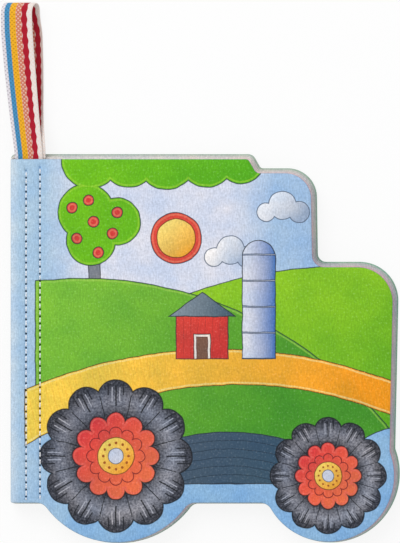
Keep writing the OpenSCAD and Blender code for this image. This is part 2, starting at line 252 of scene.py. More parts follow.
def inner_points(ring, spacing, sewn):
    """Points inside the innermost ring: an even grid, closer rows at the seams and the fold."""
    (left, foot), (right, top) = ring.min(axis=0), ring.max(axis=0)
    grid = np.array([(x, y) for x in np.arange(left, right, spacing) for y in np.arange(foot, top, spacing)])
    if sewn:
        rows = [grid[grid[:, 0] > FOLD_X + BESIDE_SEAM[-1]]]
        for (seam_x, start), count in zip(SEAMS, STITCH_COUNTS):
            xs = sorted({seam_x + side * off for off in BESIDE_SEAM for side in (-1, 1)})
            ys = [COVER_HEIGHT - start - i * STITCH - down
                  for i in range(-1, count + 1) for down in DOWN_STITCH]
            rows.append(np.array([(x, y) for x in xs for y in ys]))
        rows.append(np.array([(SPINE_ROW, y) for y in np.arange(SPINE_ROW_FOOT, COVER_HEIGHT - 1, spacing)]))
    else:
        rows = [grid[np.abs(grid[:, 0] - FOLD_X) > PLAIN_CLEAR]]
    fold = SEWN_FOLD if sewn else PLAIN_FOLD
    rows.append(np.array([(FOLD_X + off, y) for off in fold for y in np.arange(foot, top, FOLD_SPACING)]))
    points = np.concatenate(rows)
    points = points[inside(points, ring)]
    gaps = np.linalg.norm(points[:, None] - ring[None], axis=2).min(axis=1)
    return points[gaps > RING_CLEAR]


def padded_leaf(name, k, low, high, spacing=1.7, valleys=0):
    """A padded leaf: two cloths over thin wadding, joined at the cut edge.

    k counts the leaves from the front cover, low and high are its faces' heights, and valleys is 1 where the
    seams pull in its upper face, -1 where they pull in its lower face.
    """
    rings = leaf_rings(k, spacing)
    last = rings[-1]
    inner = inner_points(last, spacing, valleys != 0)
    count = len(last)
    flat = [Vector(p) for p in np.concatenate([last, inner])]
    loop = [(i, (i + 1) % count) for i in range(count)]
    _, _, faces, origin, _, _ = delaunay_2d_cdt(flat, loop, [], 1, 1e-5)

    reach = np.linalg.norm(inner[:, None] - rings[WIDEST][None], axis=2).min(axis=1)
    crown = 1 - CROWN_LACK * np.exp(-(reach - EDGE_RINGS[-1][0]) / CROWN_REACH)
    lifts = np.concatenate([np.full(count, lift) for _, lift in EDGE_RINGS] + [crown])
    spots = np.concatenate([rings.reshape(-1, 2), inner])
    x, y = spots[:, 0], spots[:, 1]
    sits = billow(x, y)
    middle, half = (low + high) / 2, (high - low) / 2
    strip = 1 - ease((x - FOLD_X + FOLD_EASE / 2) / FOLD_EASE)
    upper, lower = middle + half * lifts, middle - half * lifts
    # each cover's strip fills the gap to the leaves
    if k == 0:
        lower = lower - LEAF_GAP * strip * lifts
    if k == LAST_LEAF:
        upper = upper + LEAF_GAP * strip * lifts
    if valleys > 0:
        upper = upper - stitch_pull(x, y) - fold_pull(x)
    if valleys < 0:
        lower = lower + stitch_pull(x, y) + fold_pull(x)
    if k == 1:
        upper = upper - ribbon_dent(x, y) * np.minimum(1, lifts * 1.3)
        lower = np.minimum(lower, upper - LEAST_T)
    upper, lower = upper * sits, lower * sits
    total = len(spots)
    lower_side = np.column_stack([spots[count:], lower[count:]])
    points = np.concatenate([np.column_stack([spots, upper]), lower_side])

    def under(i):
        return i if i < count else i + total - count

    quads = []
    for r in range(len(EDGE_RINGS) - 1):
        for i in range(count):
            a, b = r * count + i, r * count + (i + 1) % count
            c, d = b + count, a + count
            quads.append((d, c, b, a))
            quads.append((under(a), under(b), under(c), under(d)))
    base = (len(EDGE_RINGS) - 1) * count
    for tri in faces:
        corners = [base + origin[i][0] for i in tri]
        (ax, ay), (bx, by), (cx, cy) = (spots[i] for i in corners)
        if (bx - ax) * (cy - ay) - (by - ay) * (cx - ax) < 0:
            corners.reverse()
        quads.append(tuple(corners))
        quads.append(tuple(under(i) for i in reversed(corners)))
    mesh = bpy.data.meshes.new(name)
    mesh.from_pydata(placed(points).tolist(), [], quads)
    mesh.validate()
    face = np.minimum(1, lifts / FACE_LIFT)
    face = np.concatenate([face, -face[count:]])
    spot = mesh.attributes.new("book_place", "FLOAT_VECTOR", "POINT")
    spot.data.foreach_set("vector", np.column_stack([points[:, :2], face]).astype(np.float32).ravel())
    from_edge = np.concatenate([np.repeat([inset for inset, _ in EDGE_RINGS], count), reach])
    border = mesh.attributes.new("edge_reach", "FLOAT", "POINT")
    border.data.foreach_set("value", np.concatenate([from_edge, from_edge[count:]]).astype(np.float32))
    mesh.shade_smooth()
    piece = bpy.data.objects.new(name, mesh)
    bpy.context.scene.collection.objects.link(piece)
    return piece


THREAD_SIDES, THREAD_STEPS = 7, 12
PLY_R, TWIST_R = 0.165, 0.135
PLY_TURNS, PLY_SHIFT = 0.9, 0.13  # turns of a ply along one stitch, and from one stitch to the next
STITCH_END = 0.42  # how far from the middle of its hole a stitch ends
DIVE, ARCH, BED = 0.80, 0.05, 0.04  # how far a stitch dives at its ends, arches, and lies in the cloth
LEAN = 0.05


def thread_row(name, seam, count):
    """One seam: a twisted two-ply thread that shows as a row of stitches on both faces of the book."""
    seam_x, start = seam
    sides = THREAD_SIDES
    points, faces, marks = [], [], []
    for face in (1, -1):
        for i in range(count + 1):
            top = COVER_HEIGHT - start - i * STITCH
            length = min(STITCH, top - SEAM_CLEAR)
            lean = LEAN * noise.noise(Vector((i * 0.7, seam_x, face)))
            for ply in (0, 1):
                first = len(points)
                for j in range(THREAD_STEPS + 1):
                    t = j / THREAD_STEPS
                    off = abs(2 * t - 1)
                    y = top - length + STITCH_END + (length - 2 * STITCH_END) * t
                    crest = BOOK_H - BED - THREAD_R - (DIVE * off ** 5 + ARCH * off ** 2)
                    turn = 2 * math.pi * (PLY_TURNS * t + 0.5 * ply + PLY_SHIFT * i)
                    cx = seam_x + lean + TWIST_R * math.cos(turn)
                    cz = crest + TWIST_R * math.sin(turn)
                    for s in range(sides):
                        a = 2 * math.pi * s / sides
                        px, pz = cx + PLY_R * math.cos(a), cz + PLY_R * math.sin(a)
                        points.append((px, y, pz if face > 0 else BOOK_H - pz))
                        marks.append((s / sides, i + t, ply))
                    if j:
                        for s in range(sides):
                            a, b = first + (j - 1) * sides + s, first + (j - 1) * sides + (s + 1) % sides
                            quad = (a, b, b + sides, a + sides)
                            faces.append(quad if face < 0 else quad[::-1])
                caps = [tuple(range(first, first + sides)),
                        tuple(range(len(points) - 1, len(points) - sides - 1, -1))]
                faces += caps if face > 0 else [c[::-1] for c in caps]
    points = np.array(points)
    points[:, 2] *= billow(points[:, 0], points[:, 1])
    mesh = bpy.data.meshes.new(name)
    mesh.from_pydata(placed(points).tolist(), [], faces)
    mesh.shade_smooth()
    spot = mesh.attributes.new("thread_place", "FLOAT_VECTOR", "POINT")
    spot.data.foreach_set("vector", np.array(marks, np.float32).ravel())
    piece = bpy.data.objects.new(name, mesh)
    bpy.context.scene.collection.objects.link(piece)
    return piece


# The ribbon above the cover's top edge: height, middle in x, width shown. The front run leans to the spine,
# the back run turns only near the bend.
FRONT_RUN = ((-14, 7.7, 11.6), (1.2, 7.66, 11.8), (18.6, 5.7, 12.5), (38, 3.8, 13.2), (54, 2.5, 13.4),
             (62, 2.3, 13.2))
BACK_RUN = ((-14, 8.3, 12.4), (20, 8.5, 12.9), (40, 8.4, 13), (54, 8.0, 13), (62, 6.0, 13))
TAIL_LENGTH = 14  # how far each end is sewn in
RUN_END, BEND_R, RIBBON_T, RIBBON_W = 61.9, 4.2, 0.6, 13
TAIL_Z, LOWER_TAIL_Z, LOWER_Z = 8.1, 7.2, 0.5
EYE_Z = LOWER_Z + BEND_R  # the middle of the loop's eye
RISE_FROM = 3  # the front run climbs from here to the bend
SINK_FROM, SINK_OVER = 4, 26
RUN_ROWS, BEND_ROWS, SMOOTHINGS = 90, 26, 6
CAMBER, CAMBER_EASE = 0.45, 20
SELVEDGE = 0.83  # share of the width past which the back run curls up
CURL_IN, CURL_RISE = 0.55, 0.75


def ribbon_path():
    """Rows of height above the top edge, z, middle in x and width, from the upper end round to the lower."""
    rows = []
    top_z = LOWER_Z + 2 * BEND_R
    heights, middles, widths = zip(*FRONT_RUN)
    for y in np.linspace(-TAIL_LENGTH, RUN_END, RUN_ROWS):
        z = TAIL_Z + (top_z - TAIL_Z) * ease((y - RISE_FROM) / (RUN_END - RISE_FROM))
        rows.append((y, z, np.interp(y, heights, middles), np.interp(y, heights, widths)))
    back_heights, back_middles, back_widths = zip(*BACK_RUN)
    for a in np.linspace(90, -90, BEND_ROWS)[1:-1]:
        bend, share = math.radians(a), (90 - a) / 180
        rows.append((RUN_END + BEND_R * math.cos(bend), LOWER_Z + BEND_R * (1 + math.sin(bend)),
                     middles[-1] + (back_middles[-1] - middles[-1]) * ease(share), widths[-1]))
    for y in np.linspace(RUN_END, -TAIL_LENGTH, RUN_ROWS):
        z = LOWER_TAIL_Z + (LOWER_Z - LOWER_TAIL_Z) * ease((y - SINK_FROM) / SINK_OVER)
        rows.append((y, z, np.interp(y, back_heights, back_middles), np.interp(y, back_heights, back_widths)))
    rows = np.array(rows)
    for _ in range(SMOOTHINGS):
        rows[1:-1, 2:] = (rows[:-2, 2:] + 2 * rows[1:-1, 2:] + rows[2:, 2:]) / 4
    return rows


def woven_ribbon(name):
    """The ribbon, a flat woven band folded over into a loop, with its selvedges."""
    rows = ribbon_path()
    along = np.concatenate([[0], np.cumsum(np.linalg.norm(np.diff(rows[:, :2], axis=0), axis=1))])
    tangent = np.gradient(rows[:, :2], axis=0)
    tangent /= np.linalg.norm(tangent, axis=1, keepdims=True)
    shares = np.array([0, 0.012, 0.04, 0.08, 0.12, *np.linspace(0.16, 0.84, 18), 0.88, 0.92, 0.96, 0.988, 1])
    back_start = along[np.argmax(rows[:, 0])]
    columns = [(u, 1) for u in shares] + [(u, -1) for u in shares[::-1]]
    points, marks = [], []
    for row, (ty, tz), s in zip(rows, tangent, along):
        y, z, middle, width = row
        camber = CAMBER * ease((y - 2) / CAMBER_EASE)
        for u, side in columns:
            rim = min(u, 1 - u)
            thick = RIBBON_T / 2 * min(1, 0.35 + rim / 0.03)
            lift = side * thick + camber * (0.33 - (2 * u - 1) ** 2) * (z - EYE_Z) / EYE_Z
            curl = max(0, u - SELVEDGE) * width * ease((s - back_start) / 16) * ease(y / 22)
            across = middle + (u - 0.5) * width - CURL_IN * curl
            points.append((across, COVER_HEIGHT + y - tz * lift, z + ty * lift + CURL_RISE * curl))
            marks.append((u * RIBBON_W, s, side))
    n, m = len(columns), len(rows)
    faces = [(i * n + j, (i + 1) * n + j, (i + 1) * n + (j + 1) % n, i * n + (j + 1) % n)
             for i in range(m - 1) for j in range(n)]
    half = n // 2
    for row, flip in ((0, False), (m - 1, True)):
        for j in range(half - 1):
            a, b = row * n + j, row * n + j + 1
            c, d = row * n + n - 2 - j, row * n + n - 1 - j
            quad = (a, b, c, d)
            faces.append(quad[::-1] if flip else quad)
    points = np.array(points)
    points[:, 2] *= billow(points[:, 0], points[:, 1])
    mesh = bpy.data.meshes.new(name)
    mesh.from_pydata(placed(points).tolist(), [], faces)
    mesh.shade_smooth()
    spot = mesh.attributes.new("ribbon_place", "FLOAT_VECTOR", "POINT")
    spot.data.foreach_set("vector", np.array(marks, np.float32).ravel())
    piece = bpy.data.objects.new(name, mesh)
    bpy.context.scene.collection.objects.link(piece)
    return piece, along[-1]


# Materials

def linear(colour):
    """An sRGB hex colour as linear RGBA."""
    parts = [int(colour[i:i + 2], 16) / 255 for i in (1, 3, 5)]
    return (*[c / 12.92 if c <= 0.04045 else ((c + 0.055) / 1.055) ** 2.4 for c in parts], 1)


def add(tree, kind, settings=None, links=None):
    """Add one node. Settings are its fields or inputs; links feed inputs from a socket or a hex colour."""
    node = tree.nodes.new("ShaderNode" + kind)
    for key, value in (settings or {}).items():
        if isinstance(key, str) and hasattr(node, key):
            setattr(node, key, value)
        else:
            node.inputs[key].default_value = value
    for key, source in (links or {}).items():
        if isinstance(source, str):
            node.inputs[key].default_value = linear(source)
        else:
            tree.links.new(source, node.inputs[key])
    return node


def new_material(name):
    material = bpy.data.materials.new(name)
    material.use_nodes = True
    material.node_tree.nodes.clear()
    return material, material.node_tree


# Shapes of the print. Each is the distance outside its edge in millimetres, less than nothing inside.

def disc(tree, place, x, y, r):
    far = add(tree, "VectorMath", {"operation": "DISTANCE", 1: (x, y, 0)}, {0: place})
    return add(tree, "Math", {"operation": "SUBTRACT", 1: r}, {0: far.outputs["Value"]}).outputs[0]


def rectangle(tree, place, x0, y0, x1, y1):
    centre, half = ((x0 + x1) / 2, (y0 + y1) / 2, 0), ((x1 - x0) / 2, (y1 - y0) / 2, 0)
    off = add(tree, "VectorMath", {"operation": "SUBTRACT", 1: centre}, {0: place})
    size = add(tree, "VectorMath", {"operation": "ABSOLUTE"}, {0: off.outputs[0]})
    over = add(tree, "VectorMath", {"operation": "SUBTRACT", 1: half}, {0: size.outputs[0]})
    parts = add(tree, "SeparateXYZ", {}, {0: over.outputs[0]})
    return add(tree, "Math", {"operation": "MAXIMUM"}, {0: parts.outputs[0], 1: parts.outputs[1]}).outputs[0]


def straight(tree, place, nx, ny, reach):
    """The half plane up to reach along the direction nx, ny."""
    dot = add(tree, "VectorMath", {"operation": "DOT_PRODUCT", 1: (nx, ny, 0)}, {0: place})
    return add(tree, "Math", {"operation": "SUBTRACT", 1: reach}, {0: dot.outputs["Value"]}).outputs[0]


def joined(tree, *edges):
    whole = edges[0]
    for edge in edges[1:]:
        whole = add(tree, "Math", {"operation": "MINIMUM"}, {0: whole, 1: edge}).outputs[0]
    return whole


def common(tree, *edges):
    whole = edges[0]
    for edge in edges[1:]:
        whole = add(tree, "Math", {"operation": "MAXIMUM"}, {0: whole, 1: edge}).outputs[0]
    return whole


def cut(tree, edge, hole):
    """What is left of one shape when another is cut out of it."""
    rest = add(tree, "Math", {"operation": "MULTIPLY", 1: -1}, {0: hole}).outputs[0]
    return common(tree, edge, rest)


def lines(tree, value, spacing, width):
    """Lines where value is a multiple of spacing."""
    near = add(tree, "Math", {"operation": "PINGPONG", 1: spacing / 2}, {0: value})
    return add(tree, "Math", {"operation": "SUBTRACT", 1: width / 2}, {0: near.outputs[0]}).outputs[0]


PEN = "#30353b"
PEN_LINE = 0.36
SOFT_EDGE = 0.1  # half width of a field's painted edge
GLINT_IN = 0.85  # how far inside a field its pale line runs
BORDER = 5  # width of a page's plain border


def laid(tree, under, over, value, start, stop, least=0, most=1):
    """One colour over another. Its share runs from least to most as value runs from start to stop."""
    share = add(tree, "MapRange", {"From Min": start, "From Max": stop, "To Min": least, "To Max": most},
                {"Value": value}).outputs[0]
    return add(tree, "Mix", {"data_type": "RGBA"}, {0: share, 6: under, 7: over}).outputs[2]


def gradient(tree, place, start, stop, first, last):
    """A wash that runs from one colour to another between two points of the cover."""
    run = Vector(stop) - Vector(start)
    along = straight(tree, place, run.x / run.length, run.y / run.length, Vector(start).dot(run) / run.length)
    return laid(tree, first, last, along, 0, run.length)


def field(tree, under, edge, fill, pen=PEN, line=PEN_LINE, glint=None):
    """One field of the print over what is under it: its colour, a pale line inside it and a pen line."""
    colour = laid(tree, under, fill, edge, SOFT_EDGE, -SOFT_EDGE)
    if glint:
        inner = add(tree, "Math", {"operation": "ADD", 1: GLINT_IN}, {0: edge})
        off = add(tree, "Math", {"operation": "ABSOLUTE"}, {0: inner.outputs[0]}).outputs[0]
        colour = laid(tree, colour, glint, off, 0.5, 0.1, 0, 0.6)
    if pen:
        off = add(tree, "Math", {"operation": "ABSOLUTE"}, {0: edge}).outputs[0]
        colour = laid(tree, colour, pen, off, line * 0.8, line * 0.35, 0, 0.92)
    return colour


def folded_place(tree, place, x, y, folds):
    """Place round a centre, folded so that a petal drawn along +x repeats all round, and its distance."""
    off = add(tree, "VectorMath", {"operation": "SUBTRACT", 1: (x, y, 0)}, {0: place}).outputs[0]
    parts = add(tree, "SeparateXYZ", {}, {0: off})
    turn = add(tree, "Math", {"operation": "ARCTAN2"}, {0: parts.outputs[1], 1: parts.outputs[0]})
    folded = add(tree, "Math", {"operation": "PINGPONG", 1: math.pi / folds}, {0: turn.outputs[0]}).outputs[0]
    size = add(tree, "VectorMath", {"operation": "LENGTH"}, {0: off}).outputs["Value"]
    round_to = []
    for part in ("COSINE", "SINE"):
        share = add(tree, "Math", {"operation": part}, {0: folded}).outputs[0]
        round_to.append(add(tree, "Math", {"operation": "MULTIPLY"}, {0: share, 1: size}).outputs[0])
    return add(tree, "CombineXYZ", {}, dict(enumerate(round_to))).outputs[0], size


# A petal's veins: start, end, middle and half width as shares of the flower's radius, and tone.
VEINS = ((0.66, 0.93, 0, 0.009, "#1f2228"), (0.72, 0.9, 0.05, 0.006, "#b4b6c0"),
         (0.8, 0.96, 0.1, 0.008, "#23262e"))


def flower(tree, under, place, grain, x, y, r):
    """A large round flower: dark petals with veins, a scalloped red ring and a yellow heart with seeds."""
    petal, size = folded_place(tree, place, x, y, PETALS)
    west, east = (x - 0.7 * r, y + 0.7 * r), (x + 0.7 * r, y - 0.7 * r)
    bright = laid(tree, "#5d606d", "#a3a5b0", grain, 0.35, 0.65)
    wash = gradient(tree, place, west, east, "#4a4d59", "#a9abb5")
    bright = laid(tree, bright, wash, grain, 0.3, 0.7, 0.2, 0.5)
    deep = laid(tree, "#22252d", "#50535e", grain, 0.35, 0.65)
    off_ring = add(tree, "Math", {"operation": "SUBTRACT", 1: 0.73 * r}, {0: size}).outputs[0]
    away = add(tree, "Math", {"operation": "ABSOLUTE"}, {0: off_ring}).outputs[0]
    graphite = laid(tree, bright, deep, away, 0.02 * r, 0.19 * r)
    petals = joined(tree, disc(tree, petal, 0.76 * r, 0, 0.24 * r), disc(tree, place, x, y, 0.74 * r))
    colour = field(tree, under, petals, graphite, "#1f2228", 0.5)
    seam = straight(tree, petal, -math.sin(math.pi / PETALS), math.cos(math.pi / PETALS), -0.006 * r)
    seam = cut(tree, disc(tree, place, x, y, 0.82 * r), seam)
    colour = field(tree, colour, seam, "#1f2228", None)
    for low, high, middle, half, tone in VEINS:
        vein = rectangle(tree, petal, low * r, (middle - half) * r, high * r, (middle + half) * r)
        colour = field(tree, colour, vein, tone, None)
    inner_west, inner_east = (x - 0.4 * r, y + 0.45 * r), (x + 0.35 * r, y - 0.4 * r)
    red = gradient(tree, place, inner_west, inner_east, "#dc3640", "#f4754a")
    ring = joined(tree, disc(tree, petal, 0.45 * r, 0, 0.125 * r), disc(tree, place, x, y, 0.45 * r))
    colour = field(tree, colour, ring, red, "#33262b", 0.5, "#ee6a5e")
    inner_ring = joined(tree, disc(tree, petal, 0.3 * r, 0, 0.08 * r), disc(tree, place, x, y, 0.3 * r))
    colour = field(tree, colour, inner_ring, red, "#7e2428", 0.36)
    heart_west, heart_east = (x - 0.2 * r, y + 0.2 * r), (x + 0.2 * r, y - 0.2 * r)
    heart = gradient(tree, place, heart_west, heart_east, "#fde06a", "#f59f2a")
    colour = field(tree, colour, disc(tree, place, x, y, 0.24 * r), heart, "#7c4a26", 0.34)
    colour = field(tree, colour, disc(tree, petal, 0.17 * r, 0, 0.018 * r), "#a85a24", None)
    return field(tree, colour, disc(tree, place, x, y, 0.1 * r), "#d5d9e6", "#5a6070", 0.3)


# Places in the print: discs as x, y, radius; rectangles as left, foot, right, top.

BANK = 8  # height of the brook's bank
MARGIN = 10.4  # where the land begins, measured from the spine edge
PETALS = 12
FLOWER_FILL = 0.88  # share of a lobe's radius that its flower fills
FAR_HILL, NEAR_HILL, SOIL = (140, -86, 186), (30, -70, 165), (92, -58, 88)
SPINE_BAY, NOSE_BAY = (2, 4, 29), (166, 2, 30)
WHEAT_TOP, WHEAT_FOOT, WHEAT_X = (88, -140, 205), (96, -120, 170), 6
SUN, SUN_RIM = (70, 112, 8.2), (70, 112, 10.8)
CLOUDS = ((93, 105), (115, 124))
PUFFS = ((-7, -1, 4), (0, 2, 6), (7, -1, 4.5))
TREETOPS = ((33.5, 145, 12), (50, 145.5, 12), (66, 145, 12.5), (83, 145.5, 12), (97.5, 145, 10))
TREE, TRUNK = ((32, 123, 12), (45, 119, 10), (34, 111, 10.5)), (33, 80, 38, 106)
APPLES = ((26, 125), (35, 119), (28, 112), (45, 123), (43, 114), (37, 106), (33, 128))
SILO, DOME, BAND_PITCH = (98, 61, 112, 104), (105, 104, 7), 11
BARN, DOORWAY, DOOR = (70, 61, 92, 79), (77.5, 61, 84.5, 71.5), (78.7, 61, 83.3, 70.3)
EAVES_OUT, RIDGE_RISE = 3, 10
STEM, STEM_DROP = 1.6, 2.2  # half width of a page flower's stem, its length in flower radii


def trees_and_sky(tree, place):
    """The upper half of the print: sky, far hill, clouds, sun, a row of treetops and an apple tree."""
    colour = gradient(tree, place, (14, 0), (32, 0), "#aecde6", "#dfe4f3")
    colour = laid(tree, colour, "#a9c8e8", straight(tree, place, 1, 0, 0), 92, 112)
    for cx, cy in CLOUDS:
        puffs = [disc(tree, place, cx + dx, cy + dy, r) for dx, dy, r in PUFFS]
        fluff = gradient(tree, place, (cx - 6, cy + 5), (cx + 6, cy - 5), "#fbfcff", "#9fb2cc")
        colour = field(tree, colour, joined(tree, *puffs), fluff, "#5d6b80")
    far_green = gradient(tree, place, (110, 95), (162, 30), "#93cf22", "#63b31c")
    land = common(tree, disc(tree, place, *FAR_HILL), straight(tree, place, -1, 0, -MARGIN))
    colour = field(tree, colour, land, far_green)
    gold = gradient(tree, place, (66, 118), (76, 106), "#fde27a", "#f8ab2c")
    colour = field(tree, colour, disc(tree, place, *SUN_RIM), "#e24a3d", glint="#f48a6a")
    colour = field(tree, colour, disc(tree, place, *SUN), gold, "#7c3a20")
    colour = field(tree, colour, rectangle(tree, place, *TRUNK), "#80868f")
    leaves = gradient(tree, place, (20, 146), (100, 110), "#7acb12", "#4fae1a")
    crowns = joined(tree, *[disc(tree, place, *crown) for crown in TREETOPS + TREE])
    return field(tree, colour, crowns, leaves, glint="#a4db3a")


def farmyard(tree, under, place):
    """A silo with bands and a barn with planks, a door and a roof."""
    steel = gradient(tree, place, (SILO[0] + 2, 0), (SILO[2], 0), "#e0e4f0", "#3c72bb")
    silo = joined(tree, rectangle(tree, place, *SILO), disc(tree, place, *DOME))
    colour = field(tree, under, silo, steel)
    bands = lines(tree, straight(tree, place, 0, 1, SILO[1]), BAND_PITCH, 0.5)
    colour = field(tree, colour, common(tree, silo, bands), "#c9d3e6", "#2f3f55", 0.3)
    left, foot, right, top = BARN
    walls = rectangle(tree, place, *BARN)
    red = gradient(tree, place, (left, top), (right, foot), "#e4483c", "#c93433")
    colour = field(tree, colour, walls, red)
    planks = lines(tree, straight(tree, place, 1, 0, left), 3.1, 0.12)
    colour = field(tree, colour, common(tree, walls, planks), "#9c2a28", None)
    colour = field(tree, colour, rectangle(tree, place, *DOORWAY), "#f3ece2", "#5d2a28")
    colour = field(tree, colour, rectangle(tree, place, *DOOR), "#7d5a4a", "#5d2a28", 0.28)
    run = (right - left) / 2 + EAVES_OUT
    slope = math.hypot(run, RIDGE_RISE)
    nx, ny = RIDGE_RISE / slope, run / slope
    roof = common(tree, straight(tree, place, -nx, ny, -nx * (left - EAVES_OUT) + ny * top),
                  straight(tree, place, nx, ny, nx * (right + EAVES_OUT) + ny * top),
                  straight(tree, place, 0, -1, -top))
    slates = gradient(tree, place, (left, top + 5), (right, top), "#8494a3", "#4a6272")
    return field(tree, colour, roof, slates)


def farm_print(tree, place, grain):
    """The front cover's print: hills, trees, a farmyard, fields and two large flowers, in pen and wash."""
    colour = trees_and_sky(tree, place)
    past_margin = straight(tree, place, -1, 0, -MARGIN)
    near_green = gradient(tree, place, (15, 95), (105, 30), "#84c83a", "#4a9c28")
    meadow = common(tree, disc(tree, place, *NEAR_HILL), past_margin)
    colour = field(tree, colour, meadow, near_green, glint="#a9d858")
    apples = joined(tree, *[disc(tree, place, x, y, 2.3) for x, y in APPLES])
    colour = field(tree, colour, apples, "#dd3f3a", glint="#f28c6c")

    soil = disc(tree, place, *SOIL)
    turned = gradient(tree, place, (40, 30), (130, 10), "#4c5b70", "#35566b")
    colour = field(tree, colour, soil, turned)
    colour = field(tree, colour, common(tree, lines(tree, soil, 3.6, 0.3), soil), "#2a3d4e", None)
    water = gradient(tree, place, (6, 0), (30, 0), "#aecde6", "#8fbde6")
    bays = [disc(tree, place, *bay) for bay in (SPINE_BAY, NOSE_BAY)]
    brook = joined(tree, straight(tree, place, 0, 1, BANK), *bays)
    colour = field(tree, colour, brook, water)
    # the brook runs into the plain margin beside the spine
    bay_top = SPINE_BAY[1] + SPINE_BAY[2]
    margin = common(tree, straight(tree, place, 1, 0, MARGIN - 0.6), straight(tree, place, 0, 1, bay_top + 1))
    colour = laid(tree, colour, water, margin, 0.4, -0.4)

    wheat = cut(tree, disc(tree, place, *WHEAT_TOP), disc(tree, place, *WHEAT_FOOT))
    wheat = common(tree, wheat, straight(tree, place, -1, 0, -WHEAT_X))
    ripe = gradient(tree, place, (5, 60), (140, 20), "#fddc54", "#f99f18")
    colour = field(tree, colour, wheat, ripe, "#5b4526", glint="#fdeea0")
    stalks = common(tree, lines(tree, straight(tree, place, 0.97, 0.24, 0), 2.6, 0.1), wheat)
    colour = field(tree, colour, stalks, "#f6b238", None)
    colour = farmyard(tree, colour, place)

    for x, y, lobe_r in (REAR_LOBE, FRONT_LOBE):
        colour = flower(tree, colour, place, grain, x, y, lobe_r * FLOWER_FILL)
    return colour


def page_print(first, last, hill, bloom):
    """A page or inner face: a small picture of a hill and a flower in a border of two tints, lighter at the
    top left and darker at the lower right as painted light and shade over the page's own tints.
    """
    def draw(tree, place, grain):
        # painted light and shade: the border runs from its lighter tint at the top left to its darker tint at
        # the lower right
        border = gradient(tree, place, (60, 145), (150, 90), first, last)
        picture = gradient(tree, place, (0, 140), (0, 50), "#a9cbe6", "#e4eaf5")
        green = gradient(tree, place, (20, 90), (120, 20), "#8ccc3c", "#4f9f2a")
        picture = field(tree, picture, disc(tree, place, *hill), green, glint="#b5dc62")
        x, y, r = bloom
        stem = rectangle(tree, place, x - STEM, y - STEM_DROP * r, x + STEM, y)
        picture = field(tree, picture, stem, "#3f8a2c")
        picture = flower(tree, picture, place, grain, x, y, r)
        reach = add(tree, "Attribute", {"attribute_type": "GEOMETRY", "attribute_name": "edge_reach"})
        past = add(tree, "Math", {"operation": "SUBTRACT", 0: BORDER}, {1: reach.outputs["Fac"]}).outputs[0]
        inner = common(tree, past, straight(tree, place, -1, 0, -FOLD_X - BORDER))
        return field(tree, border, inner, picture)
    return draw


def pencilled(tree, colour, flat, grain):
    """Wash and coloured pencil: broad tones of 15 mm, slanting strokes of 0.5 mm and paper grain."""
    wash = add(tree, "TexNoise", {"Scale": 1 / 15, "Detail": 3}, {"Vector": flat}).outputs[0]
    tint = laid(tree, "#e6edf6", "#fffaf6", wash, 0.35, 0.65)
    toned = add(tree, "VectorMath", {"operation": "MULTIPLY"}, {0: colour, 1: tint}).outputs[0]
    turned = add(tree, "Mapping", {"Rotation": (0, 0, math.radians(24)), "Scale": (1 / 0.5, 1 / 2.6, 1)},
                 {"Vector": flat}).outputs[0]
    strokes = add(tree, "TexNoise", {"Scale": 1, "Detail": 2}, {"Vector": turned}).outputs[0]
    dark = add(tree, "MapRange", {"From Min": 0.3, "From Max": 0.7, "To Min": 0.88, "To Max": 1.1},
               {"Value": strokes})
    rough = add(tree, "MapRange", {"From Min": 0.3, "From Max": 0.7, "To Min": 0.86, "To Max": 1.12},
                {"Value": grain})
    tone = add(tree, "Math", {"operation": "MULTIPLY"}, {0: dark.outputs[0], 1: rough.outputs[0]})
    toned = add(tree, "VectorMath", {"operation": "SCALE"}, {0: toned, "Scale": tone.outputs[0]}).outputs[0]
    return laid(tree, toned, "#f4f1ea", grain, 0.58, 0.72, 0, 0.10)


WANDER = 1.0  # how far the pen strays, in millimetres
GRAIN = {"Scale": 1 / 0.9, "Detail": 3, "Roughness": 0.6}  # paper grain of 0.9 mm
THREAD_PITCH = 0.5  # threads lie 0.2 mm apart, too fine to show, so they are drawn wider apart
WAVE_SCALE = 0.314 / THREAD_PITCH


def needle_hole_shade(tree, flat, colour):
    """Painted shade: a dark spot of 0.85 mm at each needle hole of the two seams, where the deep hole lies in
    shadow.
    """
    for (seam_x, start), count in zip(SEAMS, STITCH_COUNTS):
        lowest = COVER_HEIGHT - start - count * STITCH
        shifted = add(tree, "VectorMath", {"operation": "SUBTRACT", 1: (seam_x, lowest, 0)}, {0: flat})
        parts = add(tree, "SeparateXYZ", {}, {0: shifted.outputs[0]})
        row = add(tree, "Math", {"operation": "PINGPONG", 1: STITCH / 2}, {0: parts.outputs[1]})
        ends = add(tree, "Math", {"operation": "MINIMUM", 1: 0}, {0: parts.outputs[1]})
        past = add(tree, "Math", {"operation": "SUBTRACT", 1: (count - 1) * STITCH}, {0: parts.outputs[1]})
        above = add(tree, "Math", {"operation": "MAXIMUM", 1: 0}, {0: past.outputs[0]})
        away = add(tree, "Math", {"operation": "SUBTRACT"}, {0: above.outputs[0], 1: ends.outputs[0]})
        spot = add(tree, "CombineXYZ", {}, {0: parts.outputs[0], 1: row.outputs[0], 2: away.outputs[0]})
        far = add(tree, "VectorMath", {"operation": "LENGTH"}, {0: spot.outputs[0]}).outputs["Value"]
        colour = laid(tree, "#232c38", colour, far, 0.30, 0.5)
    return colour


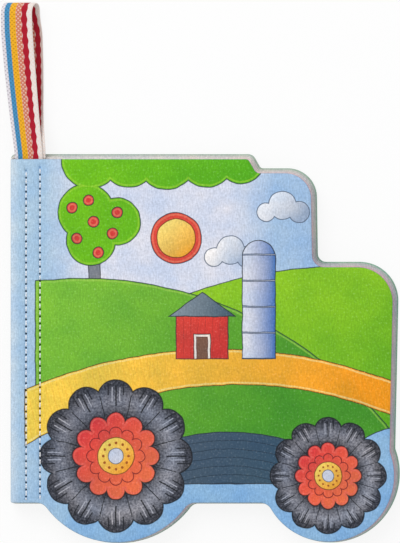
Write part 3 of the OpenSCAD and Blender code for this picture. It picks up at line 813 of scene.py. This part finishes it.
def printed_cloth(name, draw, edge_and_shade_colour, inner=None, seams=False):
    """Printed polyester satin over wadding: flat woven, fine threads, a soft low sheen, no hard gloss."""
    material, tree = new_material(name)
    at = add(tree, "Attribute", {"attribute_type": "GEOMETRY", "attribute_name": "book_place"})
    level = add(tree, "VectorMath", {"operation": "MULTIPLY", 1: (1, 1, 0)}, {0: at.outputs["Vector"]})
    flat = level.outputs[0]
    face = add(tree, "SeparateXYZ", {}, {0: at.outputs["Vector"]}).outputs[2]
    grain = add(tree, "TexNoise", GRAIN, {"Vector": flat}).outputs[0]
    # the hand of the pen wanders over 7 mm
    stray = add(tree, "TexNoise", {"Scale": 1 / 7, "Detail": 2}, {"Vector": flat})
    centred = add(tree, "VectorMath", {"operation": "SUBTRACT", 1: (0.5, 0.5, 0.5)},
                  {0: stray.outputs["Color"]})
    scaled = add(tree, "VectorMath", {"operation": "MULTIPLY", 1: (WANDER, WANDER, 0)},
                 {0: centred.outputs[0]})
    place = add(tree, "VectorMath", {"operation": "ADD"}, {0: flat, 1: scaled.outputs[0]}).outputs[0]
    colour = draw(tree, place, grain)
    if inner:
        colour = laid(tree, inner(tree, place, grain), colour, face, -0.55, -0.45)
    colour = pencilled(tree, colour, flat, grain)
    # the cut edge, where the white back of the cloth and the wadding show; the darker colour given for it is
    # painted shade along the edge
    side = add(tree, "Math", {"operation": "ABSOLUTE"}, {0: face}).outputs[0]
    colour = laid(tree, edge_and_shade_colour, colour, side, 0.6, 0.95)
    # painted shade in the needle holes
    if seams:
        colour = needle_hole_shade(tree, flat, colour)
    warp = add(tree, "TexWave", {"bands_direction": "X", "Scale": WAVE_SCALE}, {"Vector": flat})
    weft = add(tree, "TexWave", {"bands_direction": "Y", "Scale": WAVE_SCALE}, {"Vector": flat})
    weave = add(tree, "Math", {"operation": "ADD"}, {0: warp.outputs["Fac"], 1: weft.outputs["Fac"]})
    crinkle = add(tree, "TexNoise", {"Scale": 1 / 2.4, "Detail": 4}, {"Vector": flat})
    fine = add(tree, "Bump", {"Strength": 0.25, "Distance": 0.00004}, {"Height": weave.outputs[0]})
    bump = add(tree, "Bump", {"Strength": 0.4, "Distance": 0.00012},
               {"Height": crinkle.outputs[0], "Normal": fine.outputs[0]})
    roughness = add(tree, "MapRange", {"From Min": 0.3, "From Max": 0.7, "To Min": 0.6, "To Max": 0.74},
                    {"Value": grain})
    shader = add(tree, "BsdfPrincipled",
                 {"Specular IOR Level": 0.18, "Sheen Weight": 0.03, "Sheen Roughness": 0.4},
                 {"Base Color": colour, "Roughness": roughness.outputs[0], "Normal": bump.outputs[0]})
    add(tree, "OutputMaterial", {}, {"Surface": shader.outputs[0]})
    return material


def front_face(tree, place, grain):
    """The farm print, with a painted highlight along the spine edge, where the cloth bends round towards the
    light.
    """
    # painted highlight: the print turns paler towards the spine edge, where the cloth bends round
    painted_bend_highlight = straight(tree, place, 1, 0, 2.1)
    return laid(tree, farm_print(tree, place, grain), "#d8e6f1", painted_bend_highlight, -1.4, 1.8, 0.6, 0)


def back_face(tree, place, grain):
    """A plain meadow under a pale sky strip along the spine."""
    meadow = gradient(tree, place, (0, 140), (162, 0), "#86c93a", "#4fa326")
    strip = straight(tree, place, 1, 0, MARGIN)
    return field(tree, meadow, strip, "#adcce3", "#3b5a2a")


def sewing_thread():
    """Spun polyester sewing thread, two plies twisted: matt, slightly fuzzy, off-white."""
    material, tree = new_material("spun_polyester_thread")
    at = add(tree, "Attribute", {"attribute_type": "GEOMETRY", "attribute_name": "thread_place"})
    fibre = add(tree, "TexNoise", {"Scale": 9, "Detail": 3}, {"Vector": at.outputs["Vector"]}).outputs[0]
    bump = add(tree, "Bump", {"Strength": 0.4, "Distance": 0.00005}, {"Height": fibre})
    colour = add(tree, "Mix", {"data_type": "RGBA"}, {0: fibre, 6: "#e9ecf1", 7: "#ffffff"}).outputs[2]
    shader = add(tree, "BsdfPrincipled", {"Roughness": 0.6, "Specular IOR Level": 0.25, "Sheen Weight": 0.1},
                 {"Base Color": colour, "Normal": bump.outputs[0]})
    add(tree, "OutputMaterial", {}, {"Surface": shader.outputs[0]})
    return material


# The ribbon's stripes: where each ends as a share of its width, and its colour.
STRIPES = ((0.119, "#ded9df"), (0.279, "#438dbc"), (0.476, "#eeae1c"), (0.66, "#cb765f"), (1, "#e9e0dc"))
SCALLOP = 4.5  # length of one scallop of the crimson stripe
CRIMSON_MIDDLE = 9.72
DOT_PITCH = 1.7  # the dots stand half of this apart


def repeated(tree, value, pitch):
    """A wave of the given pitch along value."""
    scaled = add(tree, "Math", {"operation": "MULTIPLY", 1: 2 * math.pi / pitch}, {0: value})
    return add(tree, "Math", {"operation": "SINE"}, {0: scaled.outputs[0]}).outputs[0]


def striped_weave():
    """Woven polyester ribbon, matt: stripes, the crimson one scalloped, ribs across it and small dots."""
    material, tree = new_material("woven_striped_ribbon")
    at = add(tree, "Attribute", {"attribute_type": "GEOMETRY", "attribute_name": "ribbon_place"})
    parts = add(tree, "SeparateXYZ", {}, {0: at.outputs["Vector"]})
    across, along = parts.outputs[0], parts.outputs[1]
    colour = STRIPES[-1][1]
    for stop, stripe in reversed(STRIPES[:-1]):
        colour = laid(tree, stripe, colour, across, stop * RIBBON_W - 0.08, stop * RIBBON_W + 0.08)
    # woven dots, white on the salmon stripe and darker on the blue and yellow ones
    dots = add(tree, "Math", {"operation": "MULTIPLY"},
               {0: repeated(tree, along, DOT_PITCH), 1: repeated(tree, across, DOT_PITCH)})
    dot = add(tree, "MapRange", {"From Min": 0.15, "From Max": 0.5}, {"Value": dots.outputs[0]})
    salmon_x = STRIPES[2][0] * RIBBON_W
    salmon = add(tree, "MapRange", {"From Min": salmon_x - 0.1, "From Max": salmon_x + 0.1},
                 {"Value": across})
    pale = add(tree, "Math", {"operation": "MULTIPLY"}, {0: dot.outputs[0], 1: salmon.outputs[0]})
    dark = add(tree, "Math", {"operation": "SUBTRACT"}, {0: dot.outputs[0], 1: pale.outputs[0]})
    shaded = add(tree, "VectorMath", {"operation": "SCALE", "Scale": 0.55}, {0: colour}).outputs[0]
    colour = laid(tree, colour, shaded, dark.outputs[0], 0, 1, 0, 0.8)
    colour = laid(tree, colour, "#ecd3c1", pale.outputs[0], 0, 1, 0, 0.7)
    bulge = add(tree, "MapRange", {"From Min": -1, "From Max": 1, "To Min": 0.92, "To Max": 1.34},
                {"Value": repeated(tree, along, SCALLOP)}).outputs[0]
    off = add(tree, "Math", {"operation": "SUBTRACT", 1: CRIMSON_MIDDLE}, {0: across})
    size = add(tree, "Math", {"operation": "ABSOLUTE"}, {0: off.outputs[0]})
    over = add(tree, "Math", {"operation": "SUBTRACT"}, {0: size.outputs[0], 1: bulge}).outputs[0]
    colour = laid(tree, "#aa0824", colour, over, -0.08, 0.08)
    # ribs 0.6 mm apart across the ribbon
    bump = add(tree, "Bump", {"Strength": 0.4, "Distance": 0.00008}, {"Height": repeated(tree, along, 0.6)})
    shader = add(tree, "BsdfPrincipled", {"Roughness": 0.62, "Specular IOR Level": 0.2, "Sheen Weight": 0.05},
                 {"Base Color": colour, "Normal": bump.outputs[0]})
    add(tree, "OutputMaterial", {}, {"Surface": shader.outputs[0]})
    return material


# The pieces

LAYER_Z = [(BOOK_H - LEAF_T - LAYER_RISE * k, BOOK_H - LAYER_RISE * k) for k in range(LAST_LEAF + 1)]

front = padded_leaf("front_cover_cloth", 0, *LAYER_Z[0], valleys=1)
leaves = [padded_leaf(f"page_leaf_{k}", k, *LAYER_Z[k], spacing=2.2) for k in (1, 2, 3)]
back = padded_leaf("back_cover_cloth", LAST_LEAF, *LAYER_Z[LAST_LEAF], valleys=-1)
rows = [thread_row(f"{name}_stitches", seam, count)
        for name, seam, count in zip(("outer_seam", "inner_seam"), SEAMS, STITCH_COUNTS)]
ribbon, ribbon_length = woven_ribbon("striped_ribbon")

# Each leaf's border tints, the first lighter and the second darker as painted light and shade, its hill and
# its flower.
INNER_FRONT = page_print("#e3dde6", "#d8cdd6", (60, -90, 150), (96, 84, 26))
INNER_BACK = page_print("#bcc8ba", "#96bfa8", (110, -100, 165), (70, 84, 26))
PAGES = (page_print("#eee3de", "#dcb4c3", (100, -90, 160), (74, 88, 26)),
         page_print("#e7e1db", "#c9c5ca", (50, -80, 140), (90, 86, 30)),
         page_print("#d5d6cf", "#bcc0be", (120, -90, 170), (66, 80, 24)))
# Each cloth's cut edge colour is darkened as painted shade along the edge.
front_cloth = printed_cloth("printed_satin_front", front_face, "#8298a4", INNER_FRONT, seams=True)
back_cloth = printed_cloth("printed_satin_back", INNER_BACK, "#7d9488", back_face, seams=True)
front.data.materials.append(front_cloth)
back.data.materials.append(back_cloth)
for leaf, draw in zip(leaves, PAGES):
    leaf.data.materials.append(printed_cloth(f"printed_satin_{leaf.name}", draw, "#b0b8b2"))
thread = sewing_thread()
for row in rows:
    row.data.materials.append(thread)
ribbon.data.materials.append(striped_weave())

for piece, other, nodes in ((front, "opening_front", ("front_cover", "front_spine_strip")),
                            (back, "opening_back", ("back_cover", "back_spine_strip"))):
    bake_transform(piece)
    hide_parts(*nodes)
for leaf in leaves:
    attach(leaf, "sewn_block")
    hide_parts("pages")
for row, node in zip(rows, ("seam_outer", "seam_inner")):
    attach(row, "sewn_block")
    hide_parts(node)
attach(ribbon, "sewn_block")
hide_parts("ribbon_loop")

# Camera, light and floor

CAMERA_HEIGHT = 3.0
CAMERA_X, CAMERA_Y = -0.0003, 0.0006
SENSOR = 36
FRAME_HEIGHT = 0.22975  # what the photograph's height covers at the front cover
camera_data = bpy.data.cameras.new("camera")
camera_data.sensor_width = SENSOR
camera_data.lens = SENSOR * CAMERA_HEIGHT / FRAME_HEIGHT
camera = bpy.data.objects.new("camera", camera_data)
camera.location = (CAMERA_X, CAMERA_Y, CAMERA_HEIGHT + BOOK_H * MM)
bpy.context.scene.collection.objects.link(camera)
bpy.context.scene.camera = camera

LAMP_PLACE, LAMP_SIZE, LAMP_POWER = (-0.7, 0.9, 1.3), 1.2, 13
lamp_data = bpy.data.lights.new("softbox", "AREA")
lamp_data.shape = "DISK"
lamp_data.size = LAMP_SIZE
lamp_data.energy = LAMP_POWER
lamp = bpy.data.objects.new("softbox", lamp_data)
lamp.location = LAMP_PLACE
lamp.rotation_euler = (Vector((0, 0, 0)) - lamp.location).to_track_quat("-Z", "Y").to_euler()
bpy.context.scene.collection.objects.link(lamp)

world = bpy.data.worlds.new("studio")
world.use_nodes = True
world.node_tree.nodes.clear()
sky = add(world.node_tree, "Background", {"Color": linear("#ffffff"), "Strength": 0.72})
add(world.node_tree, "OutputWorld", {}, {"Surface": sky.outputs[0]})
bpy.context.scene.world = world

FLOOR_HALF, FLOOR_Z = 2, -0.00005
GLOW = 0.85  # share of the ground that shines by itself
floor_mesh = bpy.data.meshes.new("floor")
floor_corners = [(x * FLOOR_HALF, y * FLOOR_HALF, FLOOR_Z) for x, y in ((-1, -1), (1, -1), (1, 1), (-1, 1))]
floor_mesh.from_pydata(floor_corners, [], [(0, 1, 2, 3)])
floor = bpy.data.objects.new("floor", floor_mesh)
bpy.context.scene.collection.objects.link(floor)
# Matt studio paper: no gloss, and as bright all over as the photograph's ground.
paper, tree = new_material("studio_paper")
sheet_shader = add(tree, "BsdfDiffuse", {"Color": linear("#f4f4f4")})
glow = add(tree, "Emission", {"Color": linear("#ffffff"), "Strength": 1})
rays = add(tree, "LightPath")
direct = add(tree, "Math", {"operation": "MAXIMUM"},
             {0: rays.outputs["Is Camera Ray"], 1: rays.outputs["Is Glossy Ray"]})
any_ray = add(tree, "Math", {"operation": "MAXIMUM"},
              {0: direct.outputs[0], 1: rays.outputs["Is Transmission Ray"]})
seen = add(tree, "Math", {"operation": "MULTIPLY", 1: GLOW}, {0: any_ray.outputs[0]})
both = add(tree, "MixShader", {}, {0: seen.outputs[0], 1: sheet_shader.outputs[0], 2: glow.outputs[0]})
add(tree, "OutputMaterial", {}, {"Surface": both.outputs[0]})
floor_mesh.materials.append(paper)

bpy.context.scene.view_settings.view_transform = "Standard"
